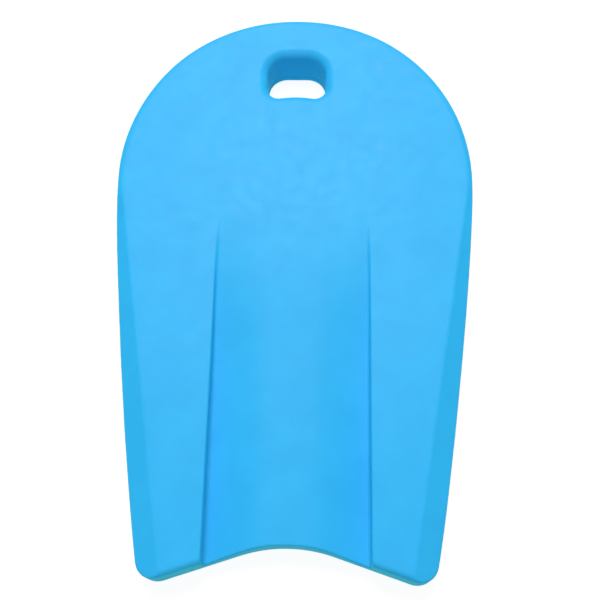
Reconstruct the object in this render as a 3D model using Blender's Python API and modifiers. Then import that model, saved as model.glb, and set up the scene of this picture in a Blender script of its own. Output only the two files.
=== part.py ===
"""Vinyl-coated foam kickboard, lying flat on its underside.

+Y runs from the swallow tail to the round nose, +Z is up out of the deck, and the board is
symmetric about X = 0. The origin is under the middle of the board, on the surface it lies on.
Every solid is the same board shape, drawn at a different depth under the finished surface:
the coating's outside, the coating's inside, and the foam core inside that.
"""
import math

import bmesh
import bpy
from mathutils import Matrix, Vector

# Driving dimensions, in metres and degrees.
LENGTH = 0.690                # nose tip to the lowest points of the tail corners
WIDTH = 0.425                 # across the widest part
THICKNESS = 0.050
RIM_RADIUS = 0.007            # round-over where the deck and the underside meet the sides

WIDEST_FROM_NOSE = 0.223      # how far back the widest part lies
NOSE_HANDLE = 0.128           # flatness of the nose tip: length of its curve handle
SHOULDER_HANDLE = 0.118       # fullness of the shoulder ahead of the widest part
SIDE_HANDLE = 0.080           # how long the sides stay parallel behind the widest part
TAIL_HANDLE = 0.120           # how early the sides take their final taper

CORNER_HALF_SPACING = 0.138   # centre line to the centre of each tail corner
CORNER_RADIUS = 0.021
SIDE_TAPER = 10.8             # angle of the sides where they meet the tail corners
FLANK_ANGLE = 18.4            # angle of the straight flanks of the tail notch
NOTCH_RADIUS = 0.160          # arc in the middle of the tail notch

BEVEL_SLOPE = 32.0            # how steeply the rail bevels fall away from the deck
BEVEL_HALF_WIDTH = 0.1308     # centre line to a bevel's upper edge, level with the tail corners
BEVEL_TAPER = 9.54            # angle of a bevel's upper edge to the centre line

PANEL_HALF_WIDTH = 0.0885     # centre line to each channel wall
PANEL_START_FROM_NOSE = 0.225
PANEL_MIDDLE_DEPTH = 0.011    # below the rails, at the tail
CHANNEL_DEPTH = 0.024         # below the rails, at the tail, at the foot of each wall
CHANNEL_INNER_EDGE = 0.25     # where a channel starts to fall, as a share of the half width
RAMP_EASE = 1.6               # above 1 the panel falls quickly at first and levels out

HOLE_HALF_WIDTH = 0.036
HOLE_FROM_NOSE = 0.054        # nose tip to the hole's front edge
HOLE_REACH = 0.059            # front edge to back edge
HOLE_FRONT_RADIUS = 0.024     # corners towards the nose
HOLE_CORNER_RADIUS = 0.014    # corners towards the tail
HOLE_EDGE_BOW = 0.002         # rise of the back edge at its middle
HOLE_LEAN = 0.0055            # how much nearer the tail the front edge lies at the underside
LIP_RADIUS = 0.011            # round lip of the hand hole on the deck
LOWER_LIP_RADIUS = 0.003

SKIN = 0.001                  # thickness of the vinyl coating
GAP = 0.0003                  # between pieces that touch
SEAM_HEIGHT = 0.009           # where the deck coat ends, above the underside

CLEAR = 0.02                  # how far a cutter runs past what it cuts
CROSSING = 0.0001             # how far a lip's last ring lies past the face it opens out of

# Steps along the curves.
NOSE_STEPS = 18
SIDE_STEPS = 9
CORNER_STEPS = 10
NOTCH_STEPS = 4
HOLE_FRONT_STEPS = 8
HOLE_BACK_STEPS = 5
HOLE_BOW_STEPS = 3
LIP_STEPS = 4
RIM_STEPS = 3
PANEL_COLUMNS = 12
PANEL_ROWS = 12

RIM_ANGLE = 60.0              # edges sharper than this are rounded over
CREASE_ANGLE = 35.0           # edges sharper than this stay crisp in the shading
PANEL_LEAD_IN = 0.03          # how far the panel cutter starts ahead of the panel, as a share of it
PANEL_LEAD_OUT = 0.06         # how far it runs past the tail corners

DECK_BLUE = (0.06, 0.50, 0.90)
UNDERSIDE_BLUE = (0.06, 0.47, 0.86)
FOAM_GREY = (0.85, 0.86, 0.84)

NOSE_Y = LENGTH / 2


def collection(name):
    """A new collection in the scene."""
    group = bpy.data.collections.new(name)
    bpy.context.scene.collection.children.link(group)
    return group


def arc(centre, radius, start, end, steps):
    """Points and outward normals along an arc, from one angle to another, in degrees."""
    points = []
    for i in range(steps + 1):
        angle = math.radians(start + (end - start) * i / steps)
        normal = Vector((math.cos(angle), math.sin(angle)))
        points.append((centre + normal * radius, normal))
    return points


def bezier(p0, p1, p2, p3, steps):
    """Points along a cubic curve, and the normals on its left."""
    points = []
    for i in range(steps + 1):
        t = i / steps
        u = 1 - t
        point = p0 * u**3 + p1 * 3 * u * u * t + p2 * 3 * u * t * t + p3 * t**3
        tangent = (p1 - p0) * u * u + (p2 - p1) * 2 * u * t + (p3 - p2) * t * t
        tangent.normalize()
        points.append((point, Vector((-tangent.y, tangent.x))))
    return points


def board_outline(inset):
    """The plan outline, as (x, y) points, drawn inwards by the inset."""
    widest = Vector((WIDTH / 2, NOSE_Y - WIDEST_FROM_NOSE))
    tip = Vector((0, NOSE_Y))
    nose = bezier(tip, tip + Vector((NOSE_HANDLE, 0)),
                  widest + Vector((0, SHOULDER_HANDLE)), widest, NOSE_STEPS)

    corner = Vector((CORNER_HALF_SPACING, -LENGTH / 2 + CORNER_RADIUS))
    corner_arc = arc(corner, CORNER_RADIUS, -SIDE_TAPER, -90 - FLANK_ANGLE,
                     CORNER_STEPS)
    side_end = corner_arc[0][0]
    taper = math.radians(SIDE_TAPER)
    forward = Vector((math.sin(taper), math.cos(taper)))
    side = bezier(widest, widest - Vector((0, SIDE_HANDLE)),
                  side_end + forward * TAIL_HANDLE, side_end, SIDE_STEPS)

    flank = math.radians(FLANK_ANGLE)
    flank_foot = corner_arc[-1][0]
    notch_peak = flank_foot.y + flank_foot.x * math.tan(flank)
    notch = Vector((0, notch_peak - NOTCH_RADIUS / math.cos(flank)))
    notch_arc = arc(notch, NOTCH_RADIUS, 90 - FLANK_ANGLE, 90, NOTCH_STEPS)
    notch_arc = [(point, -normal) for point, normal in notch_arc]

    half = [point - normal * inset
            for point, normal in nose[:-1] + side[:-1] + corner_arc + notch_arc]
    half[0].x = 0
    half[-1].x = 0
    mirrored = [Vector((-point.x, point.y)) for point in reversed(half[1:-1])]
    return half + mirrored


def prism(name, outline, low, high, group):
    """A solid standing on a flat outline, made from a filled curve and turned into a mesh."""
    curve = bpy.data.curves.new(name, "CURVE")
    curve.dimensions = "2D"
    curve.fill_mode = "BOTH"
    curve.extrude = (high - low) / 2
    spline = curve.splines.new("POLY")
    spline.points.add(len(outline) - 1)
    for slot, point in zip(spline.points, outline):
        slot.co = (point.x, point.y, 0, 1)
    spline.use_cyclic_u = True
    source = bpy.data.objects.new(name, curve)
    source.location.z = (low + high) / 2
    group.objects.link(source)
    bpy.context.view_layer.update()

    evaluated = source.evaluated_get(bpy.context.evaluated_depsgraph_get())
    mesh = bpy.data.meshes.new_from_object(evaluated)
    matrix = source.matrix_world.copy()
    bpy.data.objects.remove(source)
    return weld(name, mesh, matrix, group)


def weld(name, mesh, matrix, group):
    """An object for a mesh whose caps are still loose, with each cap joined on as one face."""
    work = bmesh.new()
    work.from_mesh(mesh)
    bmesh.ops.transform(work, matrix=matrix, verts=work.verts)
    bmesh.ops.remove_doubles(work, verts=work.verts, dist=0.00001)
    bmesh.ops.dissolve_limit(work, angle_limit=math.radians(0.1), verts=work.verts, edges=work.edges)
    bmesh.ops.recalc_face_normals(work, faces=work.faces)
    work.to_mesh(mesh)
    work.free()
    solid = bpy.data.objects.new(name, mesh)
    group.objects.link(solid)
    return solid


def bake(solid):
    """Turns an object's modifiers into its mesh."""
    bpy.context.view_layer.update()
    evaluated = solid.evaluated_get(bpy.context.evaluated_depsgraph_get())
    mesh = bpy.data.meshes.new_from_object(evaluated)
    solid.modifiers.clear()
    solid.data = mesh


def combine(solid, cutter, operation):
    """Cuts or trims a solid with a cutter, which is then removed."""
    boolean = solid.modifiers.new(operation.title(), "BOOLEAN")
    boolean.operation = operation
    boolean.solver = "EXACT"
    boolean.object = cutter
    bake(solid)
    bpy.data.objects.remove(cutter)


def box(name, low, high, group):
    """A plain block between two corners."""
    mesh = bpy.data.meshes.new(name)
    work = bmesh.new()
    bmesh.ops.create_cube(work, size=1)
    size = Vector(high) - Vector(low)
    middle = (Vector(high) + Vector(low)) / 2
    placed = Matrix.Translation(middle) @ Matrix.Diagonal(size).to_4x4()
    bmesh.ops.transform(work, matrix=placed, verts=work.verts)
    work.to_mesh(mesh)
    work.free()
    solid = bpy.data.objects.new(name, mesh)
    group.objects.link(solid)
    return solid


def rail_bevel_cutter(side, inset, group):
    """A block whose lower face is the plane of one rail bevel."""
    reach = WIDTH / 2
    cutter = box("bevel_cutter", (-CLEAR, -CLEAR, -inset), (reach, LENGTH, reach), group)
    upper_edge = Matrix.Translation((BEVEL_HALF_WIDTH, -LENGTH / 2, THICKNESS))
    turn = Matrix.Rotation(math.radians(-BEVEL_TAPER), 4, "Z")
    tilt = Matrix.Rotation(math.radians(BEVEL_SLOPE), 4, "Y")
    cutter.data.transform(upper_edge @ turn @ tilt)
    if side < 0:
        cutter.data.transform(Matrix.Scale(-1, 4, (1, 0, 0)))
        cutter.data.flip_normals()
    return cutter


def panel_depth(across, along):
    """Depth of the centre panel under the rails.

    across runs from 0 on the centre line to 1 at a channel wall, along from 0 at the start of the
    panel to 1 at the tail corners. The middle is a low crown, and falls into a channel at each side.
    """
    if along > 0:
        ramp = 1 - (1 - min(along, 1))**RAMP_EASE
    else:
        ramp = RAMP_EASE * along
    fall = (across - CHANNEL_INNER_EDGE) / (1 - CHANNEL_INNER_EDGE)
    fall = max(0, min(1, fall))
    channel = fall * fall * (3 - 2 * fall)
    return ramp * (PANEL_MIDDLE_DEPTH + (CHANNEL_DEPTH - PANEL_MIDDLE_DEPTH) * channel)


def panel_cutter(inset, group):
    """The space above the sunken centre panel: a grid shaped by panel_depth, raised to a solid."""
    start_y = NOSE_Y - PANEL_START_FROM_NOSE
    run = start_y + LENGTH / 2
    mesh = bpy.data.meshes.new("panel_cutter")
    work = bmesh.new()
    bmesh.ops.create_grid(work, x_segments=PANEL_COLUMNS, y_segments=PANEL_ROWS, size=1)
    reach = 1 + PANEL_LEAD_IN + PANEL_LEAD_OUT
    for vertex in work.verts:
        across = vertex.co.x
        along = (1 - vertex.co.y) / 2 * reach - PANEL_LEAD_IN
        vertex.co.x = across * (PANEL_HALF_WIDTH + inset)
        vertex.co.y = start_y - along * run
        vertex.co.z = THICKNESS - inset - panel_depth(abs(across), along)
    bmesh.ops.triangulate(work, faces=work.faces, quad_method="FIXED")
    lifted = bmesh.ops.extrude_face_region(work, geom=work.faces[:])
    top = [item for item in lifted["geom"] if isinstance(item, bmesh.types.BMVert)]
    for vertex in top:
        vertex.co.z = THICKNESS + CLEAR
    bmesh.ops.recalc_face_normals(work, faces=work.faces)
    work.to_mesh(mesh)
    work.free()
    cutter = bpy.data.objects.new("panel_cutter", mesh)
    group.objects.link(cutter)
    return cutter


def hole_outline(offset, height):
    """The hand hole's outline at a height, drawn outwards by the offset.

    Both front corners are wide, and the back edge is bowed.
    """
    front = NOSE_Y - HOLE_FROM_NOSE
    lean = HOLE_LEAN * (1 - height / THICKNESS)
    front_corner = Vector((HOLE_HALF_WIDTH - HOLE_FRONT_RADIUS, front - HOLE_FRONT_RADIUS - lean))
    back_corner = Vector((HOLE_HALF_WIDTH - HOLE_CORNER_RADIUS,
                          front - HOLE_REACH + HOLE_CORNER_RADIUS))
    front_turn = arc(front_corner, HOLE_FRONT_RADIUS + offset, 90, 0, HOLE_FRONT_STEPS)
    back_turn = arc(back_corner, HOLE_CORNER_RADIUS + offset, 0, -90, HOLE_BACK_STEPS)
    edge = back_turn[-1][0]
    bow = []
    for i in range(1, HOLE_BOW_STEPS + 1):
        share = 1 - i / HOLE_BOW_STEPS
        rise = HOLE_EDGE_BOW * (1 - share * share)
        bow.append(Vector((edge.x * share, edge.y + rise)))
    half = [Vector((0, front_turn[0][0].y))] + [point for point, normal in front_turn + back_turn]
    half = half + bow
    mirrored = [Vector((-point.x, point.y)) for point in reversed(half[1:-1])]
    return half + mirrored


def lip_profile(lip_radius, inset):
    """Offsets and heights up the deck's lip, and on past the deck."""
    radius = lip_radius - inset
    profile = []
    for i in range(LIP_STEPS + 1):
        angle = math.pi / 2 * i / LIP_STEPS
        offset = lip_radius - radius * math.cos(angle)
        profile.append((offset, THICKNESS - lip_radius + radius * math.sin(angle)))
    offset, height = profile[-1]
    profile[-1] = (offset, height + CROSSING)
    profile.append((offset, THICKNESS + CLEAR))
    return profile


def hole_cutter(inset, group):
    """The hand hole with its round lips: rings of the hole's outline, joined into a spool."""
    upper = lip_profile(LIP_RADIUS, inset)
    lower = [(offset, THICKNESS - height)
             for offset, height in reversed(lip_profile(LOWER_LIP_RADIUS, inset))]

    mesh = bpy.data.meshes.new("hole_cutter")
    work = bmesh.new()
    rings = []
    for offset, height in lower + upper:
        outline = hole_outline(offset, height)
        ring = [work.verts.new((point.x, point.y, height)) for point in outline]
        rings.append(ring)
    for below, above in zip(rings, rings[1:]):
        count = len(below)
        for i in range(count):
            after = (i + 1) % count
            work.faces.new((below[i], below[after], above[after], above[i]))
    work.faces.new(rings[0])
    work.faces.new(rings[-1])
    bmesh.ops.triangulate(work, faces=work.faces, quad_method="FIXED")
    bmesh.ops.recalc_face_normals(work, faces=work.faces)
    work.to_mesh(mesh)
    work.free()
    cutter = bpy.data.objects.new("hole_cutter", mesh)
    group.objects.link(cutter)
    return cutter


def board(name, inset, group, cutters):
    """The board's shape, drawn under its finished surface by the inset."""
    solid = prism(name, board_outline(inset), inset, THICKNESS - inset, group)
    rim = solid.modifiers.new("Rim", "BEVEL")
    rim.width = RIM_RADIUS - inset
    rim.segments = RIM_STEPS
    rim.limit_method = "ANGLE"
    rim.angle_limit = math.radians(RIM_ANGLE)
    rim.use_clamp_overlap = False
    bake(solid)
    for side in (1, -1):
        combine(solid, rail_bevel_cutter(side, inset, cutters), "DIFFERENCE")
    combine(solid, panel_cutter(inset, cutters), "DIFFERENCE")
    combine(solid, hole_cutter(inset, cutters), "DIFFERENCE")
    return solid


def coat(name, low, high, group, cutters):
    """The part of the coating between two heights."""
    shell = board(name, 0, group, cutters)
    slab = box("slab_cutter", (-WIDTH, -LENGTH, low), (WIDTH, LENGTH, high), cutters)
    combine(shell, slab, "INTERSECT")
    combine(shell, board("cavity_cutter", SKIN, cutters, cutters), "DIFFERENCE")
    return shell


def material(name, color, roughness):
    """A plain Principled material."""
    finish = bpy.data.materials.new(name)
    finish.use_nodes = True
    shader = finish.node_tree.nodes["Principled BSDF"]
    shader.inputs["Base Color"].default_value = (*color, 1)
    shader.inputs["Roughness"].default_value = roughness
    shader.inputs["Metallic"].default_value = 0
    return finish


def finish_piece(solid, finish):
    """Gives a piece its material and smooth shading with crisp edges."""
    solid.data.materials.clear()
    solid.data.materials.append(finish)
    solid.data.shade_smooth()
    solid.data.set_sharp_from_angle(angle=math.radians(CREASE_ANGLE))


def main():
    for item in list(bpy.data.objects):
        bpy.data.objects.remove(item, do_unlink=True)
    pieces = collection("kickboard")
    cutters = collection("cutters")

    deck = coat("deck_skin", SEAM_HEIGHT + GAP / 2, THICKNESS + CLEAR, pieces, cutters)
    finish_piece(deck, material("blue_vinyl_deck", DECK_BLUE, 0.42))
    bottom = coat("bottom_skin", -CLEAR, SEAM_HEIGHT - GAP / 2, pieces, cutters)
    finish_piece(bottom, material("blue_vinyl_bottom", UNDERSIDE_BLUE, 0.45))
    core = board("foam_core", SKIN + GAP, pieces, cutters)
    finish_piece(core, material("closed_cell_foam", FOAM_GREY, 0.90))


main()
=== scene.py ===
"""Vinyl-coated foam kickboard on a white studio table.

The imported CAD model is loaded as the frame. The coats of the deck and the underside are modelled
here with their moulded, slightly uneven surface, and stand for the CAD skins. The foam core is
the CAD solid with a foam material. Everything is in metres, nose towards +Y, deck up.
"""
import math

import bmesh
import bpy
from bpy.props import FloatProperty, FloatVectorProperty, PointerProperty, StringProperty
from mathutils import Matrix, Vector, noise


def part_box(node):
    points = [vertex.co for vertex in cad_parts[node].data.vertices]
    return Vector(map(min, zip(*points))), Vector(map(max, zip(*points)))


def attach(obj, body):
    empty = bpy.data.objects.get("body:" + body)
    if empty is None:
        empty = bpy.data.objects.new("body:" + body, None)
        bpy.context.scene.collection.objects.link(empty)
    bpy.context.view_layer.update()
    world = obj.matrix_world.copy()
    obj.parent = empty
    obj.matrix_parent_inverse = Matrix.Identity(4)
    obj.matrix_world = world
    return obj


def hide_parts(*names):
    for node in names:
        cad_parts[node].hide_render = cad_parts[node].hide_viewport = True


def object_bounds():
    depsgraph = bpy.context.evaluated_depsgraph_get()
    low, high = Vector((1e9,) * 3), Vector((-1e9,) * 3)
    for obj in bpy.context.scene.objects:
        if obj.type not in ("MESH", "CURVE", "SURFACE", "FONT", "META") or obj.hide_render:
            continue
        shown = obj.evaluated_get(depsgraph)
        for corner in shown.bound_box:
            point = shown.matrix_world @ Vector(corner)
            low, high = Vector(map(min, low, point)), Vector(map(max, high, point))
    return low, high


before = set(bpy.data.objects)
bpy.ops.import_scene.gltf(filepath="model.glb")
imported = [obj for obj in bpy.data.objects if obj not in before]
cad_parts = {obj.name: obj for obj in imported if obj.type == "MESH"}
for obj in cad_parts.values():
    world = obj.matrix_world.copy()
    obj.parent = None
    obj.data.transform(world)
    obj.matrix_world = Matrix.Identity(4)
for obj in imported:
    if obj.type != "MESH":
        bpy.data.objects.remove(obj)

CAD_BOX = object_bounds()

bl_info = {
    "name": "Kickboard",
    "version": (1, 0, 0),
    "blender": (4, 5, 0),
    "location": "3D View > Sidebar > Kickboard",
    "description": "Vinyl-coated foam kickboard with a hand hole, sunken panel and swallow tail",
    "category": "Add Mesh",
}

DECK_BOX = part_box("deck_skin")
UNDERSIDE_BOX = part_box("bottom_skin")
NOSE_Y = CAD_BOX[1].y
TAIL_Y = CAD_BOX[0].y
DECK_Z = CAD_BOX[1].z
TABLE_Z = CAD_BOX[0].z

# Steps along the curves.
NOSE_STEPS = 56
SIDE_STEPS = 40
CORNER_STEPS = 22
NOTCH_STEPS = 12
HOLE_FRONT_STEPS = 24
HOLE_BACK_STEPS = 14
HOLE_BOW_STEPS = 8
LIP_STEPS = 8
RIM_STEPS = 6
PANEL_COLUMNS = 56
PANEL_ROWS = 72

CLEAR = 0.02                      # how far a cutter runs past what it cuts
CROSSING = 0.0001                 # how far a lip's last ring lies past the face it opens out of
WELD = 0.00001                    # points nearer than this are one
FLAT_ANGLE = math.radians(0.1)    # faces that meet flatter than this are one
RIM_ANGLE = math.radians(60)      # edges sharper than this are rounded over
BEVEL_REACH = 0.25                # width and height of the blocks that cut the rail bevels
PANEL_LEAD_IN = 0.06              # how far the panel cutter starts ahead, as a share of the panel
PANEL_LEAD_OUT = 0.06             # how far it runs past the tail corners
PANEL_CLEAR = 0.0004              # how far over the deck the panel cutter starts
RELAX_STRENGTH = 0.5
RELAX_PASSES = 3
DECK_TRIANGLES = 95000            # before the coat gets its thickness, which doubles them
UNDERSIDE_TRIANGLES = 90000


def length_property(name, description, default):
    """A property that holds a length."""
    return FloatProperty(name=name, description=description, default=default,
                         unit="LENGTH", precision=4)


def angle_property(name, description, degrees):
    """A property that holds an angle."""
    return FloatProperty(name=name, description=description, default=math.radians(degrees),
                         subtype="ANGLE")


def share_property(name, description, default):
    """A property that holds a share from 0 to 1."""
    return FloatProperty(name=name, description=description, default=default,
                         min=0, max=1, subtype="FACTOR")


def colour_property(name, description, default):
    """A property that holds a colour as an sRGB hex value."""
    return StringProperty(name=name, description=description, default=default)


class KickboardOutline(bpy.types.PropertyGroup):
    """The board's plan outline."""

    width: length_property(
        "Width", "Across the widest part", CAD_BOX[1].x - CAD_BOX[0].x)
    widest_from_nose: length_property(
        "Widest From Nose", "How far back the widest part lies", 0.223)
    nose_handle: length_property(
        "Nose Handle", "Flatness of the nose tip", 0.128)
    shoulder_handle: length_property(
        "Shoulder Handle", "Fullness of the shoulder ahead of the widest part", 0.118)
    side_handle: length_property(
        "Side Handle", "How long the sides stay parallel behind the widest part", 0.080)
    tail_handle: length_property(
        "Tail Handle", "How early the sides take their final taper", 0.120)
    corner_half_spacing: length_property(
        "Corner Spacing", "Centre line to the centre of each tail corner", 0.138)
    corner_radius: length_property(
        "Corner Radius", "Round of the tail corners", 0.021)
    side_taper: angle_property(
        "Side Taper", "Angle of the sides where they meet the tail corners", 10.8)
    flank_angle: angle_property(
        "Flank Angle", "Angle of the straight flanks of the tail notch", 18.4)
    notch_radius: length_property(
        "Notch Radius", "Arc in the middle of the tail notch", 0.160)


class KickboardForm(bpy.types.PropertyGroup):
    """The board's cross section, panel and hand hole."""

    rim_radius: length_property(
        "Rim Radius", "Round-over where deck and underside meet the sides", 0.007)
    bevel_slope: angle_property(
        "Bevel Slope", "How steeply the rail bevels fall away from the deck", 32.0)
    bevel_half_width: length_property(
        "Bevel Half Width", "Centre line to a bevel's upper edge, level with the tail", 0.1308)
    bevel_taper: angle_property(
        "Bevel Taper", "Angle of a bevel's upper edge to the centre line", 9.54)
    panel_half_width: length_property(
        "Panel Half Width", "Centre line to each channel wall", 0.0885)
    panel_start: length_property(
        "Panel Start", "Nose tip to the start of the sunken panel", 0.225)
    panel_middle_depth: length_property(
        "Panel Middle Depth", "Depth of the panel's crown under the rails, at the tail", 0.011)
    channel_depth: length_property(
        "Channel Depth", "Depth at the foot of each channel wall, at the tail", 0.024)
    channel_inner_edge: share_property(
        "Channel Inner Edge", "Where a channel starts to fall, as a share of the half width", 0.25)
    ramp_ease: FloatProperty(
        name="Ramp Ease", description="Above 1 the panel falls quickly at first", default=1.6)
    panel_lead: share_property(
        "Panel Lead", "Share of the panel over which it eases down out of the deck", 0.5)
    hole_half_width: length_property(
        "Hole Half Width", "Centre line to the side of the hand hole", 0.036)
    hole_from_nose: length_property(
        "Hole From Nose", "Nose tip to the hole's front edge", 0.054)
    hole_reach: length_property(
        "Hole Reach", "Front edge to back edge of the hole", 0.059)
    hole_front_radius: length_property(
        "Hole Front Radius", "Corners of the hole towards the nose", 0.024)
    hole_corner_radius: length_property(
        "Hole Corner Radius", "Corners of the hole towards the tail", 0.014)
    hole_edge_bow: length_property(
        "Hole Edge Bow", "Rise of the back edge at its middle", 0.002)
    hole_lean: length_property(
        "Hole Lean", "How much nearer the tail the front edge lies at the underside", 0.0055)
    lip_radius: length_property(
        "Lip Radius", "Round lip of the hand hole on the deck", 0.011)
    lower_lip_radius: length_property(
        "Lower Lip Radius", "Round lip of the hand hole on the underside", 0.003)


class KickboardCoat(bpy.types.PropertyGroup):
    """The vinyl coat: how it is made and how it looks."""

    grain: length_property(
        "Surface Step", "Edge length that the moulded surface is modelled with", 0.0016)
    coat_thickness: length_property(
        "Coat Thickness", "Thickness of the vinyl coat", 0.0009)
    sag_size: length_property(
        "Sag Size", "Width of the slow waves of the foam under the coat", 0.070)
    sag_height: length_property(
        "Sag Height", "Height of those waves", 0.00022)
    dimple_size: length_property(
        "Dimple Size", "Width of the small unevenness of the foam", 0.014)
    dimple_height: length_property(
        "Dimple Height", "Height of that unevenness", 0.00005)
    deck_colour: colour_property(
        "Deck Colour", "Sky blue vinyl of the deck, sRGB", "#2EB8F5")
    # Painted shade: the underside's copy of the deck vinyl is drawn a little darker than the deck's,
    # because these faces turn away from the light.
    underside_shaded_colour: colour_property(
        "Underside Colour", "The same vinyl on the underside, sRGB", "#2EB4F1")
    mottle_colour: colour_property(
        "Mottle Colour", "Where the coat lies a little thicker, sRGB", "#2BB3F1")
    roughness: share_property(
        "Roughness", "Satin sheen of the coat", 0.43)
    peel_size: length_property(
        "Peel Size", "Width of the orange peel that a sprayed coat dries with", 0.0022)
    peel_height: length_property(
        "Peel Height", "Height of the orange peel", 0.000025)


class KickboardFoam(bpy.types.PropertyGroup):
    """The closed-cell foam of the core."""

    colour: colour_property(
        "Foam Colour", "Walls of the cut cells, sRGB", "#E6E8E4")
    # Painted shade: the bottoms of the cut cells are drawn greyer than the cell walls.
    cell_bottom_shade_colour: colour_property(
        "Cell Colour", "Bottoms of the cut cells, sRGB", "#C9CCC8")
    cell_size: length_property(
        "Cell Size", "Width of a foam cell", 0.0016)
    cell_depth: length_property(
        "Cell Depth", "Depth of a cut cell", 0.0003)


class KickboardStage(bpy.types.PropertyGroup):
    """Table, lights and camera."""

    camera_place: FloatVectorProperty(
        name="Camera Place", description="Where the camera stands", default=(0.033, -0.423, 1.056),
        subtype="TRANSLATION", unit="LENGTH")
    camera_tilt: angle_property(
        "Camera Tilt", "From straight down towards the nose", 20.9)
    camera_yaw: angle_property(
        "Camera Yaw", "Turn to the side", 1.26)
    camera_roll: angle_property(
        "Camera Roll", "Turn about the view axis", 0.60)
    lens: FloatProperty(
        name="Lens", description="Focal length in millimetres", default=57.0)
    table_size: length_property(
        "Table Size", "Side of the square table", 20.0)
    table_colour: colour_property(
        "Table Colour", "The acrylic without its glow, sRGB", "#808080")
    table_glow: share_property(
        "Table Glow", "Light that comes up through the white table", 0.86)
    sky_power: FloatProperty(
        name="Room Light", description="Strength of the white room", default=0.42)
    ground_power: FloatProperty(
        name="Ground Light", description="Strength of the light that comes up from below",
        default=0.88)
    room_colour: colour_property(
        "Room Colour", "The slightly warm white of the room, sRGB", "#FFFBEA")
    ground_colour: colour_property(
        "Ground Colour", "The cool, sea green light from below, sRGB", "#8CF5D8")
    softbox_power: FloatProperty(
        name="Softbox Power", description="Watts of the large softbox", default=88.0)
    fill_power: FloatProperty(
        name="Fill Power", description="Watts of the softbox behind the camera", default=18.0)
    fill_place: FloatVectorProperty(
        name="Fill Place", description="Where the second softbox hangs", default=(-0.1, -1.5, 2.8),
        subtype="TRANSLATION", unit="LENGTH")
    softbox_width: length_property(
        "Softbox Width", "Short side of the softboxes, across the board", 1.6)
    softbox_length: length_property(
        "Softbox Length", "Long side of the softboxes, along the board", 2.0)
    softbox_place: FloatVectorProperty(
        name="Softbox Place", description="Where the softbox hangs", default=(-0.12, 1.75, 3.0),
        subtype="TRANSLATION", unit="LENGTH")


# ---------------------------------------------------------------- outline and solids

def arc(centre, radius, start, end, steps):
    """Points and outward normals along an arc, from one angle to another, in radians."""
    points = []
    for i in range(steps + 1):
        angle = start + (end - start) * i / steps
        normal = Vector((math.cos(angle), math.sin(angle)))
        points.append((centre + normal * radius, normal))
    return points


def bezier(p0, p1, p2, p3, steps):
    """Points along a cubic curve."""
    points = []
    for i in range(steps + 1):
        t = i / steps
        u = 1 - t
        points.append(p0 * u**3 + p1 * 3 * u * u * t + p2 * 3 * u * t * t + p3 * t**3)
    return points


def mirrored_loop(half):
    """A closed outline from its right half, whose first and last points are on the centre line."""
    half[0].x = 0
    half[-1].x = 0
    return half + [Vector((-point.x, point.y)) for point in reversed(half[1:-1])]


def board_outline(outline):
    """The plan outline, as (x, y) points."""
    widest = Vector((outline.width / 2, NOSE_Y - outline.widest_from_nose))
    tip = Vector((0, NOSE_Y))
    nose = bezier(tip, tip + Vector((outline.nose_handle, 0)),
                  widest + Vector((0, outline.shoulder_handle)), widest, NOSE_STEPS)

    quarter = math.pi / 2
    corner = Vector((outline.corner_half_spacing, TAIL_Y + outline.corner_radius))
    corner_arc = arc(corner, outline.corner_radius,
                     -outline.side_taper, -quarter - outline.flank_angle, CORNER_STEPS)
    side_end = corner_arc[0][0]
    taper = Vector((math.sin(outline.side_taper), math.cos(outline.side_taper)))
    side = bezier(widest, widest - Vector((0, outline.side_handle)),
                  side_end + taper * outline.tail_handle, side_end, SIDE_STEPS)

    flank_foot = corner_arc[-1][0]
    peak = flank_foot.y + flank_foot.x * math.tan(outline.flank_angle)
    notch = Vector((0, peak - outline.notch_radius / math.cos(outline.flank_angle)))
    notch_arc = arc(notch, outline.notch_radius, quarter - outline.flank_angle, quarter,
                    NOTCH_STEPS)
    half = nose[:-1] + side[:-1] + [point for point, normal in corner_arc + notch_arc]
    return mirrored_loop(half)


def hole_outline(form, offset, height):
    """The hand hole's outline at a height, drawn outwards by the offset.

    Both front corners are wide, and the back edge is bowed.
    """
    quarter = math.pi / 2
    front = NOSE_Y - form.hole_from_nose
    lean = form.hole_lean * (DECK_Z - height) / (DECK_Z - TABLE_Z)
    front_corner = Vector((form.hole_half_width - form.hole_front_radius,
                           front - form.hole_front_radius - lean))
    back_corner = Vector((form.hole_half_width - form.hole_corner_radius,
                          front - form.hole_reach + form.hole_corner_radius))
    front_turn = arc(front_corner, form.hole_front_radius + offset, quarter, 0,
                     HOLE_FRONT_STEPS)
    back_turn = arc(back_corner, form.hole_corner_radius + offset, 0, -quarter,
                    HOLE_BACK_STEPS)
    edge = back_turn[-1][0]
    half = [Vector((0, front_turn[0][0].y))] + [point for point, normal in front_turn + back_turn]
    for i in range(1, HOLE_BOW_STEPS + 1):
        share = 1 - i / HOLE_BOW_STEPS
        rise = form.hole_edge_bow * (1 - share * share)
        half.append(Vector((edge.x * share, edge.y + rise)))
    return mirrored_loop(half)


def show(name, work):
    """An object in the scene for a bmesh, which is freed."""
    mesh = bpy.data.meshes.new(name)
    work.to_mesh(mesh)
    work.free()
    solid = bpy.data.objects.new(name, mesh)
    bpy.context.scene.collection.objects.link(solid)
    return solid


def bake(solid):
    """Turns an object's modifiers into its mesh."""
    bpy.context.view_layer.update()
    evaluated = solid.evaluated_get(bpy.context.evaluated_depsgraph_get())
    mesh = bpy.data.meshes.new_from_object(evaluated)
    solid.modifiers.clear()
    solid.data = mesh


def cut(solid, cutter):
    """Takes a cutter away from a solid, and removes the cutter."""
    boolean = solid.modifiers.new("Cut", "BOOLEAN")
    boolean.operation = "DIFFERENCE"
    boolean.solver = "EXACT"
    boolean.object = cutter
    bake(solid)
    bpy.data.objects.remove(cutter)


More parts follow.
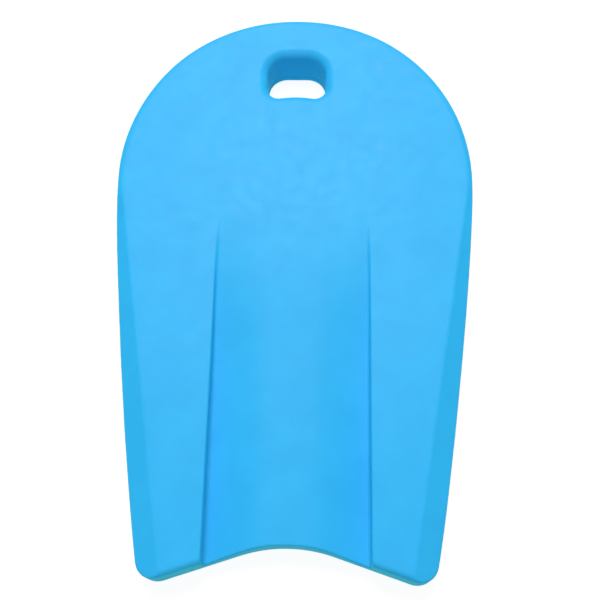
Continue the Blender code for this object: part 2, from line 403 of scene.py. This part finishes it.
def blank(outline, form):
    """The board before its cuts: a prism on the outline with its rims rounded over."""
    curve = bpy.data.curves.new("blank", "CURVE")
    curve.dimensions = "2D"
    curve.fill_mode = "BOTH"
    curve.extrude = (DECK_Z - TABLE_Z) / 2
    points = board_outline(outline)
    spline = curve.splines.new("POLY")
    spline.points.add(len(points) - 1)
    for slot, point in zip(spline.points, points):
        slot.co = (point.x, point.y, 0, 1)
    spline.use_cyclic_u = True
    source = bpy.data.objects.new("blank", curve)
    bpy.context.scene.collection.objects.link(source)
    bpy.context.view_layer.update()
    evaluated = source.evaluated_get(bpy.context.evaluated_depsgraph_get())

    work = bmesh.new()
    work.from_mesh(bpy.data.meshes.new_from_object(evaluated))
    bpy.data.objects.remove(source)
    bmesh.ops.translate(work, vec=(0, 0, (DECK_Z + TABLE_Z) / 2), verts=work.verts)
    bmesh.ops.remove_doubles(work, verts=work.verts, dist=WELD)
    bmesh.ops.dissolve_limit(work, angle_limit=FLAT_ANGLE, verts=work.verts, edges=work.edges)
    bmesh.ops.recalc_face_normals(work, faces=work.faces)
    solid = show("board", work)

    rim = solid.modifiers.new("Rim", "BEVEL")
    rim.width = form.rim_radius
    rim.segments = RIM_STEPS
    rim.limit_method = "ANGLE"
    rim.angle_limit = RIM_ANGLE
    rim.use_clamp_overlap = False
    bake(solid)
    return solid


def rail_bevel_cutter(form, side):
    """A block whose lower face is the plane of one rail bevel."""
    work = bmesh.new()
    bmesh.ops.create_cube(work, size=1)
    low = Vector((-CLEAR, -CLEAR, 0))
    high = Vector((BEVEL_REACH, NOSE_Y - TAIL_Y, BEVEL_REACH))
    bmesh.ops.scale(work, vec=high - low, verts=work.verts)
    bmesh.ops.translate(work, vec=(high + low) / 2, verts=work.verts)
    upper_edge = Matrix.Translation((form.bevel_half_width, TAIL_Y, DECK_Z))
    turn = Matrix.Rotation(-form.bevel_taper, 4, "Z")
    tilt = Matrix.Rotation(form.bevel_slope, 4, "Y")
    bmesh.ops.transform(work, matrix=upper_edge @ turn @ tilt, verts=work.verts)
    if side < 0:
        bmesh.ops.scale(work, vec=(-1, 1, 1), verts=work.verts)
        bmesh.ops.reverse_faces(work, faces=work.faces)
    return show("rail_bevel_cutter", work)


def smooth_step(share):
    """Rises smoothly from 0 to 1 as the share does."""
    share = max(0, min(1, share))
    return share * share * (3 - 2 * share)


def panel_depth(form, across, along):
    """Depth of the centre panel under the rails.

    across runs from 0 on the centre line to 1 at a channel wall, along from 0 at the start of the
    panel to 1 at the tail corners. The middle is a low crown, and falls into a channel each side.
    """
    along = max(0, min(along, 1))
    ramp = 1 - (1 - along)**form.ramp_ease
    fall = (across - form.channel_inner_edge) / (1 - form.channel_inner_edge)
    channel = smooth_step(fall)
    middle = form.panel_middle_depth
    depth = ramp * (middle + (form.channel_depth - middle) * channel)
    eased = smooth_step(along / form.panel_lead)
    return eased * depth - (1 - eased) * PANEL_CLEAR


def panel_cutter(form):
    """The space above the sunken centre panel: a grid shaped by panel_depth, raised to a solid."""
    start_y = NOSE_Y - form.panel_start
    run = start_y - TAIL_Y
    reach = 1 + PANEL_LEAD_IN + PANEL_LEAD_OUT
    work = bmesh.new()
    bmesh.ops.create_grid(work, x_segments=PANEL_COLUMNS, y_segments=PANEL_ROWS, size=1)
    for vertex in work.verts:
        across = vertex.co.x
        along = (1 - vertex.co.y) / 2 * reach - PANEL_LEAD_IN
        vertex.co.x = across * form.panel_half_width
        vertex.co.y = start_y - along * run
        vertex.co.z = DECK_Z - panel_depth(form, abs(across), along)
    lifted = bmesh.ops.extrude_face_region(work, geom=work.faces[:])
    for item in lifted["geom"]:
        if isinstance(item, bmesh.types.BMVert):
            item.co.z = DECK_Z + CLEAR
    bmesh.ops.recalc_face_normals(work, faces=work.faces)
    return show("panel_cutter", work)


def lip_profile(lip_radius):
    """Offsets and heights up the deck's lip, and on past the deck."""
    profile = []
    for i in range(LIP_STEPS + 1):
        angle = math.pi / 2 * i / LIP_STEPS
        offset = lip_radius * (1 - math.cos(angle))
        profile.append((offset, DECK_Z - lip_radius * (1 - math.sin(angle))))
    offset, height = profile[-1]
    profile[-1] = (offset, height + CROSSING)
    profile.append((offset, DECK_Z + CLEAR))
    return profile


def hole_cutter(form):
    """The hand hole with its round lips: rings of the hole's outline, joined into a spool."""
    upper = lip_profile(form.lip_radius)
    lower = [(offset, DECK_Z + TABLE_Z - height)
             for offset, height in reversed(lip_profile(form.lower_lip_radius))]
    work = bmesh.new()
    rings = []
    for offset, height in lower + upper:
        outline = hole_outline(form, offset, height)
        rings.append([work.verts.new((point.x, point.y, height)) for point in outline])
    for below, above in zip(rings, rings[1:]):
        for i in range(len(below)):
            after = (i + 1) % len(below)
            work.faces.new((below[i], below[after], above[after], above[i]))
    work.faces.new(rings[0])
    work.faces.new(rings[-1])
    bmesh.ops.recalc_face_normals(work, faces=work.faces)
    return show("hole_cutter", work)


def soften(solid, coat):
    """Rebuilds a solid's skin as an even mesh, and rounds its cut edges as a thick coat does."""
    remesh = solid.modifiers.new("Skin", "REMESH")
    remesh.mode = "VOXEL"
    remesh.voxel_size = coat.grain
    remesh.use_smooth_shade = True
    relax = solid.modifiers.new("Relax", "SMOOTH")
    relax.factor = RELAX_STRENGTH
    relax.iterations = RELAX_PASSES
    bake(solid)


def unevenness(coat, place):
    """Height of the coat over its ideal surface: slow waves and small dimples of the foam."""
    sag = noise.noise(place / coat.sag_size) * coat.sag_height
    dimple = noise.noise(place / coat.dimple_size) * coat.dimple_height
    return sag + dimple


def telegraph_foam(surface, coat):
    """Moves a surface along its normals by the unevenness of the foam under it."""
    mesh = surface.data
    places = [vertex.co.copy() for vertex in mesh.vertices]
    normals = [normal.vector.copy() for normal in mesh.vertex_normals]
    moved = []
    for place, normal in zip(places, normals):
        moved.extend(place + normal * unevenness(coat, place))
    mesh.vertices.foreach_set("co", moved)
    mesh.update()


def split(surface, name, keep_above, height):
    """A copy of the closed board surface, open at the seam, with what lies on one side of it."""
    work = bmesh.new()
    work.from_mesh(surface.data)
    geometry = work.verts[:] + work.edges[:] + work.faces[:]
    bmesh.ops.bisect_plane(work, geom=geometry, dist=WELD, plane_co=(0, 0, height),
                           plane_no=(0, 0, 1), clear_inner=keep_above,
                           clear_outer=not keep_above)
    return show(name, work)


def coat_piece(surface, name, keep_above, height, triangles, coat):
    """One coat: its half of the surface, thinned to a triangle budget and given its thickness."""
    piece = split(surface, name, keep_above, height)
    thin = piece.modifiers.new("Thin", "DECIMATE")
    piece.data.calc_loop_triangles()
    thin.ratio = min(1, triangles / len(piece.data.loop_triangles))
    thickness = piece.modifiers.new("Coat", "SOLIDIFY")
    thickness.thickness = coat.coat_thickness
    thickness.offset = -1
    bake(piece)
    piece.data.shade_smooth()
    return piece


# ---------------------------------------------------------------- materials

def linear(hex_colour):
    """An sRGB hex value as a linear colour with alpha."""
    digits = hex_colour.lstrip("#")
    channels = [int(digits[i:i + 2], 16) / 255 for i in (0, 2, 4)]
    curved = [c / 12.92 if c <= 0.04045 else ((c + 0.055) / 1.055)**2.4 for c in channels]
    return (*curved, 1)


def new_material(name):
    """A material, its node tree and its Principled shader."""
    finish = bpy.data.materials.new(name)
    finish.use_nodes = True
    tree = finish.node_tree
    return finish, tree, tree.nodes["Principled BSDF"]


def add_node(tree, kind, settings=None, values=None, links=None):
    """Adds a node, sets its properties and input values, and links its inputs to other sockets."""
    node = tree.nodes.new(kind)
    for key, value in (settings or {}).items():
        setattr(node, key, value)
    for key, value in (values or {}).items():
        node.inputs[key].default_value = value
    for key, socket in (links or {}).items():
        tree.links.new(socket, node.inputs[key])
    return node


def sprayed_vinyl(name, colour, thick_colour, coat):
    """Sprayed vinyl, satin.

    The film dries with a faint orange peel, so its wide soft sheen breaks up a little. It lies
    thicker in places, which mottles the blue slightly, and it is rubbed a little smoother there.
    """
    finish, tree, shader = new_material(name)
    place = add_node(tree, "ShaderNodeTexCoord").outputs["Object"]

    mottle_size = 0.045
    mottle = add_node(tree, "ShaderNodeTexNoise", values={
        "Scale": 1 / mottle_size, "Detail": 4.0, "Roughness": 0.55}, links={"Vector": place})
    spread = add_node(tree, "ShaderNodeMapRange", values={
        "From Min": 0.35, "From Max": 0.65}, links={"Value": mottle.outputs["Fac"]})
    blue = add_node(tree, "ShaderNodeMix", {"data_type": "RGBA"}, {
        "A": linear(colour), "B": linear(thick_colour)}, {"Factor": spread.outputs["Result"]})
    tree.links.new(blue.outputs["Result"], shader.inputs["Base Color"])

    rub_size = 0.012
    rub_effect = 0.05
    rub = add_node(tree, "ShaderNodeTexNoise", values={
        "Scale": 1 / rub_size, "Detail": 6.0, "Roughness": 0.6}, links={"Vector": place})
    satin = add_node(tree, "ShaderNodeMapRange", values={
        "From Min": 0.3, "From Max": 0.7,
        "To Min": coat.roughness - rub_effect, "To Max": coat.roughness + rub_effect},
        links={"Value": rub.outputs["Fac"]})
    tree.links.new(satin.outputs["Result"], shader.inputs["Roughness"])

    peel = add_node(tree, "ShaderNodeTexNoise", values={
        "Scale": 1 / coat.peel_size, "Detail": 2.0, "Roughness": 0.5}, links={"Vector": place})
    peel_bump = add_node(tree, "ShaderNodeBump", values={
        "Strength": 1.0, "Distance": coat.peel_height}, links={"Height": peel.outputs["Fac"]})
    tree.links.new(peel_bump.outputs["Normal"], shader.inputs["Normal"])

    shader.inputs["IOR"].default_value = 1.53
    shader.inputs["Specular IOR Level"].default_value = 0.17
    shader.inputs["Diffuse Roughness"].default_value = 0.4
    shader.inputs["Metallic"].default_value = 0
    return finish


def cut_foam(foam):
    """Closed-cell foam, cut with a hot wire.

    The cut opens the cells, so the surface is dull and pitted at the scale of a pinhead. The bottoms
    of the pits are drawn greyer than their walls, which is painted shade. Real cells are about 0.5 mm
    wide, and are drawn three times as wide so that they show.
    """
    finish, tree, shader = new_material("closed_cell_foam_cut")
    place = add_node(tree, "ShaderNodeTexCoord").outputs["Object"]
    cells = add_node(tree, "ShaderNodeTexVoronoi", values={
        "Scale": 1 / foam.cell_size}, links={"Vector": place})
    shade = add_node(tree, "ShaderNodeMapRange", values={
        "From Min": 0.0, "From Max": 0.7, "To Min": 0.0, "To Max": 1.0},
        links={"Value": cells.outputs["Distance"]})
    # Painted shade: this mix makes the cell bottoms greyer than their walls.
    grey = add_node(tree, "ShaderNodeMix", {"data_type": "RGBA"}, {
        "A": linear(foam.cell_bottom_shade_colour), "B": linear(foam.colour)}, {"Factor": shade.outputs["Result"]})
    tree.links.new(grey.outputs["Result"], shader.inputs["Base Color"])
    pits = add_node(tree, "ShaderNodeBump", values={
        "Strength": 1.0, "Distance": foam.cell_depth}, links={"Height": cells.outputs["Distance"]})
    tree.links.new(pits.outputs["Normal"], shader.inputs["Normal"])
    shader.inputs["Roughness"].default_value = 0.9
    shader.inputs["IOR"].default_value = 1.45
    shader.inputs["Metallic"].default_value = 0
    return finish


def opal_acrylic(colour, glow):
    """Opal acrylic table top, sanded matt and lit from below.

    It reads as plain white, and shows hardly any shadow. The sanding is drawn coarser than real
    grit, so that it can be seen close up.
    """
    finish, tree, shader = new_material("opal_acrylic_sanded")
    place = add_node(tree, "ShaderNodeTexCoord").outputs["Object"]
    sanding_size = 0.003
    sanding = add_node(tree, "ShaderNodeTexNoise", values={
        "Scale": 1 / sanding_size, "Detail": 3.0}, links={"Vector": place})
    matt = add_node(tree, "ShaderNodeMapRange", values={
        "To Min": 0.8, "To Max": 0.95}, links={"Value": sanding.outputs["Fac"]})
    tree.links.new(matt.outputs["Result"], shader.inputs["Roughness"])
    shader.inputs["Base Color"].default_value = linear(colour)
    shader.inputs["Specular IOR Level"].default_value = 0.2
    shader.inputs["Emission Color"].default_value = (1, 1, 1, 1)
    shader.inputs["Emission Strength"].default_value = glow
    return finish


# ---------------------------------------------------------------- operators

class KICKBOARD_OT_vinyl_coats(bpy.types.Operator):
    """Make the vinyl coats of the deck and the underside"""

    bl_idname = "kickboard.vinyl_coats"
    bl_label = "Vinyl Coats"

    def execute(self, context):
        scene = context.scene
        form = scene.kickboard_form
        coat = scene.kickboard_coat
        surface = blank(scene.kickboard_outline, form)
        for side in (1, -1):
            cut(surface, rail_bevel_cutter(form, side))
        cut(surface, panel_cutter(form))
        cut(surface, hole_cutter(form))
        soften(surface, coat)
        telegraph_foam(surface, coat)

        deck = coat_piece(surface, "deck_coat", True, DECK_BOX[0].z, DECK_TRIANGLES, coat)
        deck.data.materials.append(sprayed_vinyl(
            "sprayed_vinyl_deck", coat.deck_colour, coat.mottle_colour, coat))
        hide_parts("deck_skin")

        underside = coat_piece(surface, "underside_coat", False, UNDERSIDE_BOX[1].z,
                               UNDERSIDE_TRIANGLES, coat)
        # The underside's vinyl carries painted shade: it is a little darker than the deck's copy of
        # the same vinyl.
        underside.data.materials.append(sprayed_vinyl(
            "sprayed_vinyl_underside", coat.underside_shaded_colour, coat.mottle_colour, coat))
        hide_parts("bottom_skin")

        for piece in (deck, underside):
            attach(piece, "root")
        bpy.data.objects.remove(surface)
        return {"FINISHED"}


class KICKBOARD_OT_foam_core(bpy.types.Operator):
    """Give the foam core its material"""

    bl_idname = "kickboard.foam_core"
    bl_label = "Foam Core"

    def execute(self, context):
        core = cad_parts["foam_core"]
        core.data.materials.clear()
        core.data.materials.append(cut_foam(context.scene.kickboard_foam))
        return {"FINISHED"}


class KICKBOARD_OT_stage(bpy.types.Operator):
    """Set up the table, the lights and the camera"""

    bl_idname = "kickboard.stage"
    bl_label = "Stage"

    def execute(self, context):
        scene = context.scene
        stage = scene.kickboard_stage
        self.lay_table(stage)
        self.hang_softbox(scene, stage, "key", stage.softbox_place, stage.softbox_power)
        self.hang_softbox(scene, stage, "fill", stage.fill_place, stage.fill_power)
        self.light_room(scene, stage)
        self.place_camera(scene, stage)
        scene.view_settings.view_transform = "Standard"
        return {"FINISHED"}

    def lay_table(self, stage):
        """A white table top under the board, which casts no light or reflection on it."""
        work = bmesh.new()
        bmesh.ops.create_grid(work, x_segments=8, y_segments=8, size=stage.table_size / 2)
        bmesh.ops.translate(work, vec=(0, 0, TABLE_Z), verts=work.verts)
        table = show("table", work)
        table.data.materials.append(opal_acrylic(stage.table_colour, stage.table_glow))
        table.visible_diffuse = False
        table.visible_glossy = False

    def hang_softbox(self, scene, stage, name, place, power):
        """A large softbox that faces the board."""
        lamp = bpy.data.lights.new(name, "AREA")
        lamp.shape = "RECTANGLE"
        lamp.size = stage.softbox_width
        lamp.size_y = stage.softbox_length
        lamp.energy = power
        softbox = bpy.data.objects.new(name, lamp)
        softbox.location = place
        aim = Vector((0, 0, DECK_Z)) - Vector(place)
        softbox.rotation_mode = "QUATERNION"
        softbox.rotation_quaternion = aim.to_track_quat("-Z", "Y")
        scene.collection.objects.link(softbox)

    def light_room(self, scene, stage):
        """A white room over the table, and cool light from under it that grazes the rims."""
        room = bpy.data.worlds.new("white_room")
        room.use_nodes = True
        tree = room.node_tree
        background = tree.nodes["Background"]
        direction = add_node(tree, "ShaderNodeTexCoord").outputs["Generated"]
        height = add_node(tree, "ShaderNodeSeparateXYZ", links={"Vector": direction})
        above = add_node(tree, "ShaderNodeMapRange", values={
            "From Min": -0.2, "From Max": 0.0}, links={"Value": height.outputs["Z"]})
        white = add_node(tree, "ShaderNodeMix", {"data_type": "RGBA"}, {
            "A": linear(stage.ground_colour), "B": linear(stage.room_colour)},
            {"Factor": above.outputs["Result"]})
        tree.links.new(white.outputs["Result"], background.inputs["Color"])
        strength = add_node(tree, "ShaderNodeMapRange", values={
            "To Min": stage.ground_power, "To Max": stage.sky_power},
            links={"Value": above.outputs["Result"]})
        tree.links.new(strength.outputs["Result"], background.inputs["Strength"])
        scene.world = room

    def place_camera(self, scene, stage):
        """The camera above the tail, tilted towards the nose."""
        lens = bpy.data.cameras.new("camera")
        lens.sensor_width = 36
        lens.lens = stage.lens
        camera = bpy.data.objects.new("camera", lens)
        turn = (Matrix.Rotation(stage.camera_tilt, 3, "X")
                @ Matrix.Rotation(stage.camera_yaw, 3, "Y")
                @ Matrix.Rotation(stage.camera_roll, 3, "Z"))
        camera.matrix_world = Matrix.Translation(stage.camera_place) @ turn.to_4x4()
        scene.collection.objects.link(camera)
        scene.camera = camera


class KICKBOARD_PT_panel(bpy.types.Panel):
    """Lists the kickboard's pieces and its stage"""

    bl_idname = "KICKBOARD_PT_panel"
    bl_label = "Kickboard"
    bl_space_type = "VIEW_3D"
    bl_region_type = "UI"
    bl_category = "Kickboard"

    def draw(self, context):
        for operator in OPERATORS:
            self.layout.operator(operator.bl_idname)


OPERATORS = (KICKBOARD_OT_vinyl_coats, KICKBOARD_OT_foam_core, KICKBOARD_OT_stage)
PROPERTY_GROUPS = {
    "kickboard_outline": KickboardOutline,
    "kickboard_form": KickboardForm,
    "kickboard_coat": KickboardCoat,
    "kickboard_foam": KickboardFoam,
    "kickboard_stage": KickboardStage,
}


def register():
    for name, group in PROPERTY_GROUPS.items():
        bpy.utils.register_class(group)
        setattr(bpy.types.Scene, name, PointerProperty(type=group))
    for operator in OPERATORS:
        bpy.utils.register_class(operator)
    bpy.utils.register_class(KICKBOARD_PT_panel)


def unregister():
    bpy.utils.unregister_class(KICKBOARD_PT_panel)
    for operator in reversed(OPERATORS):
        bpy.utils.unregister_class(operator)
    for name, group in PROPERTY_GROUPS.items():
        delattr(bpy.types.Scene, name)
        bpy.utils.unregister_class(group)


def main():
    register()
    bpy.ops.kickboard.vinyl_coats()
    bpy.ops.kickboard.foam_core()
    bpy.ops.kickboard.stage()


if __name__ == "__main__":
    main()
